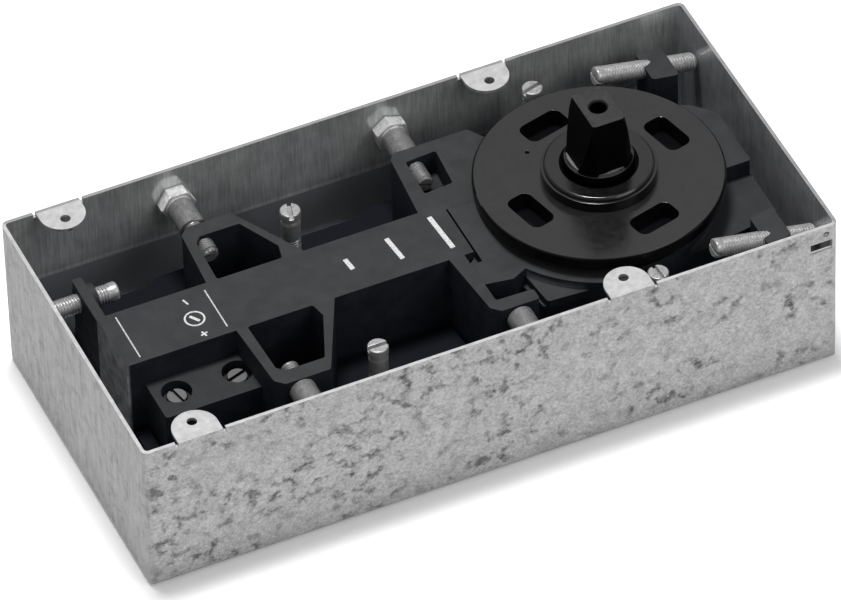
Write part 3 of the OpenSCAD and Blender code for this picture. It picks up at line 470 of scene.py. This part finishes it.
def finished(bm, name, body, finishes, stands_for=(), smooth=32):
    """Makes the bmesh a piece with its finishes, riding on a body, in place of the CAD nodes it stands
    for.
    """
    mesh = bpy.data.meshes.new(name)
    bm.to_mesh(mesh)
    bm.free()
    piece = bpy.data.objects.new(name, mesh)
    bpy.context.scene.collection.objects.link(piece)
    for finish in finishes:
        mesh.materials.append(finish)
    mesh.shade_smooth()
    mesh.set_sharp_from_angle(angle=math.radians(smooth))
    piece.modifiers.new("even_shading", "WEIGHTED_NORMAL").keep_sharp = True
    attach(piece, body)
    if stands_for:
        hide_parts(*stands_for)


def swept(bm, section, angle, steps, rise, merge):
    """Sweeps a closed section, (radius, height) points in mm, about Z and up by rise at each step."""
    corners = [bm.verts.new((r * MM, 0, z * MM)) for r, z in section]
    edges = [bm.edges.new((corners[i - 1], corners[i])) for i in range(len(corners))]
    bmesh.ops.spin(
        bm,
        geom=corners + edges,
        cent=(0, 0, 0),
        axis=(0, 0, 1),
        dvec=(0, 0, rise * MM),
        angle=angle,
        steps=steps,
        use_merge=merge,
    )


def thread(length):
    """A screw thread's ridge about Z from z = 0, swept up the helix and closed at its ends."""
    root, crest = SCREW_R - THREAD_DEPTH - THREAD_OVERLAP, SCREW_R - THREAD_INSET
    shape = ((root, 0.06), (crest, 0.42), (crest, 0.58), (root, 0.94))
    turns = int(length / THREAD_PITCH) - 1
    steps = 20
    bm = bmesh.new()
    section = [(r, share * THREAD_PITCH) for r, share in shape]
    swept(bm, section, 2 * math.pi * turns, steps * turns, THREAD_PITCH / steps, merge=False)
    bmesh.ops.holes_fill(bm, edges=[e for e in bm.edges if e.is_boundary], sides=len(shape))
    bmesh.ops.recalc_face_normals(bm, faces=bm.faces)
    return bm


# Pieces.


def cement_box():
    """The galvanised tray with broken edges. Its inner walls take the duller finish."""
    bm = soften(copy_of("cement_box"), 0.22, angle=50)
    for face in bm.faces:
        middle = face.calc_center_median() / MM
        within = abs(middle.x) < INNER_X + 0.1 and abs(middle.y) < INNER_Y + 0.1 and middle.z < BOX_TOP - 1
        inward = face.normal.x * middle.x + face.normal.y * middle.y < -1
        floor = face.normal.z > 0.9 and middle.z < SHEET_T + 1
        bend = middle.z < BOX_BEND_R + 1
        face.material_index = int(within and (inward or floor or bend))
    finished(bm, "box_shell", "root", [ZINC_OUTSIDE, ZINC_INSIDE], ["cement_box"])


def casting():
    """The cast body with the small radii that a casting and its coating have, where it is seen."""

    def seen(p):
        under_cover = math.hypot(p.x - SPINDLE_X, p.y) < COVER_R - 3
        return p.z > WEB_TOP - 0.5 and not under_cover

    bm = soften(copy_of("spring_body"), 0.55, angle=38, where=seen)
    finished(bm, "cast_body", "root", [COATED_IRON], ["spring_body"])


def housing_cover():
    """The round cover, softened on its outside only, and the collar in its middle."""
    bm = soften(copy_of("head_cover"), 0.45, angle=50, where=lambda p: p.z > COVER_TOP - COVER_T - 0.5)
    finished(bm, "housing_cover", "root", [COVER_BLACK], ["head_cover"])
    bm = soften(copy_of("bearing_collar"), 0.25, angle=40)
    finished(bm, "collar_ring", "root", [COLLAR_SHADED], ["bearing_collar"])


def spindle():
    """The spindle, softened where it stands out of the collar."""
    bm = soften(copy_of("spindle"), 0.35, angle=25, where=lambda p: p.z > SQUARE_FOOT - 2)
    finished(bm, "spindle_shaft", "spindle", [SPINDLE_BLACK], ["spindle"])


def point_along(joint, distance):
    """The point at a distance in mm along a joint's axis, counted from the joint's own point."""
    return [p + a * distance * MM for p, a in zip(joint["pos_m"], joint["axis"])]


def screw(node, threaded, finish):
    """A screw as in the CAD model, cut down over the threaded part, with a thread's ridge round it."""
    joint = JOINTS[node + "_turn"]
    centre, axis = Vector(joint["pos_m"]), Vector(joint["axis"])
    low, high = threaded
    core = (SCREW_R - THREAD_DEPTH) * MM
    bm = copy_of(node)
    for cut in (low, low + RUN_OUT, high - RUN_OUT, high):
        whole = [*bm.verts, *bm.edges, *bm.faces]
        bmesh.ops.bisect_plane(bm, geom=whole, plane_co=point_along(joint, cut), plane_no=axis)
    for vert in bm.verts:
        place = (vert.co - centre).dot(axis)
        out = vert.co - centre - axis * place
        between = low + RUN_OUT / 2 < place / MM < high - RUN_OUT / 2
        if between and out.length > core:
            vert.co = centre + axis * place + out * (core / out.length)
    soften(bm, 0.25, angle=50)
    ridge = thread(high - low)
    turn = Vector((0, 0, 1)).rotation_difference(axis).to_matrix()
    bmesh.ops.rotate(ridge, cent=(0, 0, 0), matrix=turn, verts=ridge.verts)
    bmesh.ops.translate(ridge, vec=point_along(joint, low), verts=ridge.verts)
    finished(bm, node + "_shank", node, [finish], [node])
    finished(ridge, node + "_thread", node, [finish], smooth=50)


def all_screws():
    """The four levelling screws, the four side adjusters and the three end adjusters."""
    for end, threaded in LEVEL_THREADS.items():
        for side in ("near", "far"):
            screw(f"level_screw_{end}_{side}", threaded, SCREW_ZINC)
    for place, threaded in SIDE_THREADS.items():
        screw(f"side_adjuster_{place}", threaded, DARKER_ZINC)
    screw("end_adjuster_left", LEFT_END_THREAD, SCREW_ZINC)
    for side in ("near", "far"):
        screw(f"end_adjuster_right_{side}", RIGHT_END_THREAD, SCREW_ZINC)


def valves():
    """The two regulating valves with their slotted heads."""
    for node in ("closing_valve", "latching_valve"):
        bm = soften(copy_of(node), 0.2, angle=50)
        finished(bm, node + "_screw", node, [VALVE_BLACK], [node])


def ink_bar(name, x, y0, y1, width, lean=0.0, lift=0.0):
    """A printed stroke from y0 to y1 on top of the bar: a thin plate with rounded corners.

    lean turns it, in radians, and lift raises it, so that crossing strokes don't share a plane."""
    middle = (x, (y0 + y1) / 2, BAR_TOP + (INK_PROUD - INK_SUNK) / 2 + lift)
    bm = bmesh.new()
    bmesh.ops.create_cube(bm, size=1)
    bmesh.ops.scale(bm, vec=Vector((width, y1 - y0, INK_PROUD + INK_SUNK)) * MM, verts=bm.verts)
    upright = [e for e in bm.edges if abs(e.verts[0].co.z - e.verts[1].co.z) > INK_SUNK * MM]
    bevel(bm, upright, 0.3, segments=3, clamp=False)
    bmesh.ops.rotate(bm, cent=(0, 0, 0), matrix=Matrix.Rotation(lean, 3, "Z"), verts=bm.verts)
    bmesh.ops.translate(bm, vec=Vector(middle) * MM, verts=bm.verts)
    finished(bm, name, "root", [INK])


def ink_ring(name, x, y, outer, width):
    """A printed ring, a thin plate like the strokes."""
    inner, bottom, top = outer - width, BAR_TOP - INK_SUNK, BAR_TOP + INK_PROUD
    bm = bmesh.new()
    section = [(inner, bottom), (outer, bottom), (outer, top), (inner, top)]
    swept(bm, section, 2 * math.pi, steps=40, rise=0, merge=True)
    bmesh.ops.recalc_face_normals(bm, faces=bm.faces)
    bmesh.ops.translate(bm, vec=(x * MM, y * MM, 0), verts=bm.verts)
    finished(bm, name, "root", [INK])


def printed_marks():
    """The three strokes of growing length, the lines that divide the bar, and the speed dial."""
    ink_bar("stroke_short", -30.6, -3.3, 3.3, 2.0, 0.10)
    ink_bar("stroke_middle", -10.6, -6.4, 7.0, 2.0, 0.10)
    ink_bar("stroke_long", 9.9, -9.4, 10.9, 2.1, 0.07)
    divider_w = 0.55
    ink_bar("divider_left", -126.0, -12.5, 12.5, divider_w)
    ink_bar("divider_right", -88.2, -11.5, 11.5, divider_w)
    dial_x, sign_w, sign_lean = -98.1, 0.8, 0.3
    ink_ring("dial_ring", dial_x, -1.8, 4.3, 0.75)
    ink_bar("dial_slot", dial_x, -4.2, 0.6, 1.3, 0.6)
    ink_bar("dial_minus", dial_x + 0.4, 6.6, 10.0, sign_w, sign_lean)
    ink_bar("dial_plus_a", dial_x, -12.9, -9.7, sign_w, sign_lean)
    ink_bar("dial_plus_b", dial_x, -12.9, -9.7, sign_w, sign_lean + math.pi / 2, 0.01)


def hidden_works():
    """The pieces inside the housing keep their CAD shapes and get steel, bronze, iron or rubber."""
    ground = ("upper_bearing", "heart_cam", "cam_key", "piston", "check_ball", "roller_pin", "cam_roller")
    seals = ("cover", "spindle", "piston", "plug", "closing_valve", "latching_valve")
    finishes = {
        GROUND_STEEL: ground,
        BRONZE: ("lower_bearing", "thrust_washer", "check_seat"),
        RUBBER: [name + "_seal" for name in seals],
        SPRING_WIRE: ("closing_spring",),
        COATED_IRON: ("cylinder_plug",),
    }
    for finish, names in finishes.items():
        for name in names:
            slots = NODES[name].data.materials
            for i in range(len(slots)):
                slots[i] = finish
            if not slots:
                slots.append(finish)


# Stage.


def floor():
    """A wide white floor just under the box."""
    bm = bmesh.new()
    bmesh.ops.create_grid(bm, x_segments=1, y_segments=1, size=3.0)
    mesh = bpy.data.meshes.new("studio_floor")
    bm.to_mesh(mesh)
    bm.free()
    plane = bpy.data.objects.new("studio_floor", mesh)
    plane.location.z = FLOOR_Z * MM
    bpy.context.scene.collection.objects.link(plane)
    mesh.materials.append(studio_white())


def lamp(name, place, size, power):
    """A rectangular lamp aimed at the origin. Its place and size are in metres, its power in watts."""
    data = bpy.data.lights.new(name, "AREA")
    data.shape, data.size, data.size_y = "RECTANGLE", size[0], size[1]
    data.energy = power
    obj = bpy.data.objects.new(name, data)
    bpy.context.scene.collection.objects.link(obj)
    obj.location = place
    obj.rotation_euler = (-Vector(place)).to_track_quat("-Z", "Y").to_euler()


def surroundings():
    """A white world, dimmer for the part than for the camera."""
    for_the_part, for_the_camera = 0.36, 1.0
    world = bpy.data.worlds.new("studio")
    bpy.context.scene.world = world
    world.use_nodes = True
    tree = world.node_tree
    back = tree.nodes["Background"]
    rays = tree.nodes.new("ShaderNodeLightPath")
    pick = tree.nodes.new("ShaderNodeMix")
    pick.data_type = "FLOAT"
    pick.inputs[2].default_value, pick.inputs[3].default_value = for_the_part, for_the_camera
    tree.links.new(rays.outputs["Is Camera Ray"], pick.inputs[0])
    tree.links.new(pick.outputs[0], back.inputs["Strength"])
    back.inputs["Color"].default_value = (1, 1, 1, 1)


def studio():
    """The floor, two lamps and the white round them."""
    floor()
    lamp("top_softbox", (-0.06, 0.20, 1.9), (0.5, 0.32), 31)
    lamp("front_fill", (0.9, -1.4, 1.3), (1.2, 0.8), 7)
    surroundings()
    bpy.context.scene.view_settings.view_transform = "Standard"


def photo_camera():
    """The camera that was fitted to the box's corners in the photograph."""
    azimuth, elevation, roll = (math.radians(a) for a in (-22.9626, 44.0967, -1.9405))
    distance, shift_right, shift_up = 3910.31, -1.0374, 22.5181
    flat = math.cos(elevation)
    back = Vector((math.sin(azimuth) * flat, -math.cos(azimuth) * flat, math.sin(elevation)))
    level = Vector((math.cos(azimuth), math.sin(azimuth), 0))
    upright = back.cross(level)
    right = level * math.cos(roll) + upright * math.sin(roll)
    up = upright * math.cos(roll) - level * math.sin(roll)
    data = bpy.data.cameras.new("photo_camera")
    data.sensor_width, data.lens = 36.0, 416.12
    data.clip_start, data.clip_end = 0.5, 30.0
    camera = bpy.data.objects.new("photo_camera", data)
    bpy.context.scene.collection.objects.link(camera)
    stand = Matrix((right, up, back)).transposed().to_4x4()
    stand.translation = (back * distance + right * shift_right + up * shift_up) * MM
    camera.matrix_world = stand
    bpy.context.scene.camera = camera


cement_box()
casting()
housing_cover()
spindle()
all_screws()
valves()
printed_marks()
hidden_works()
studio()
photo_camera()
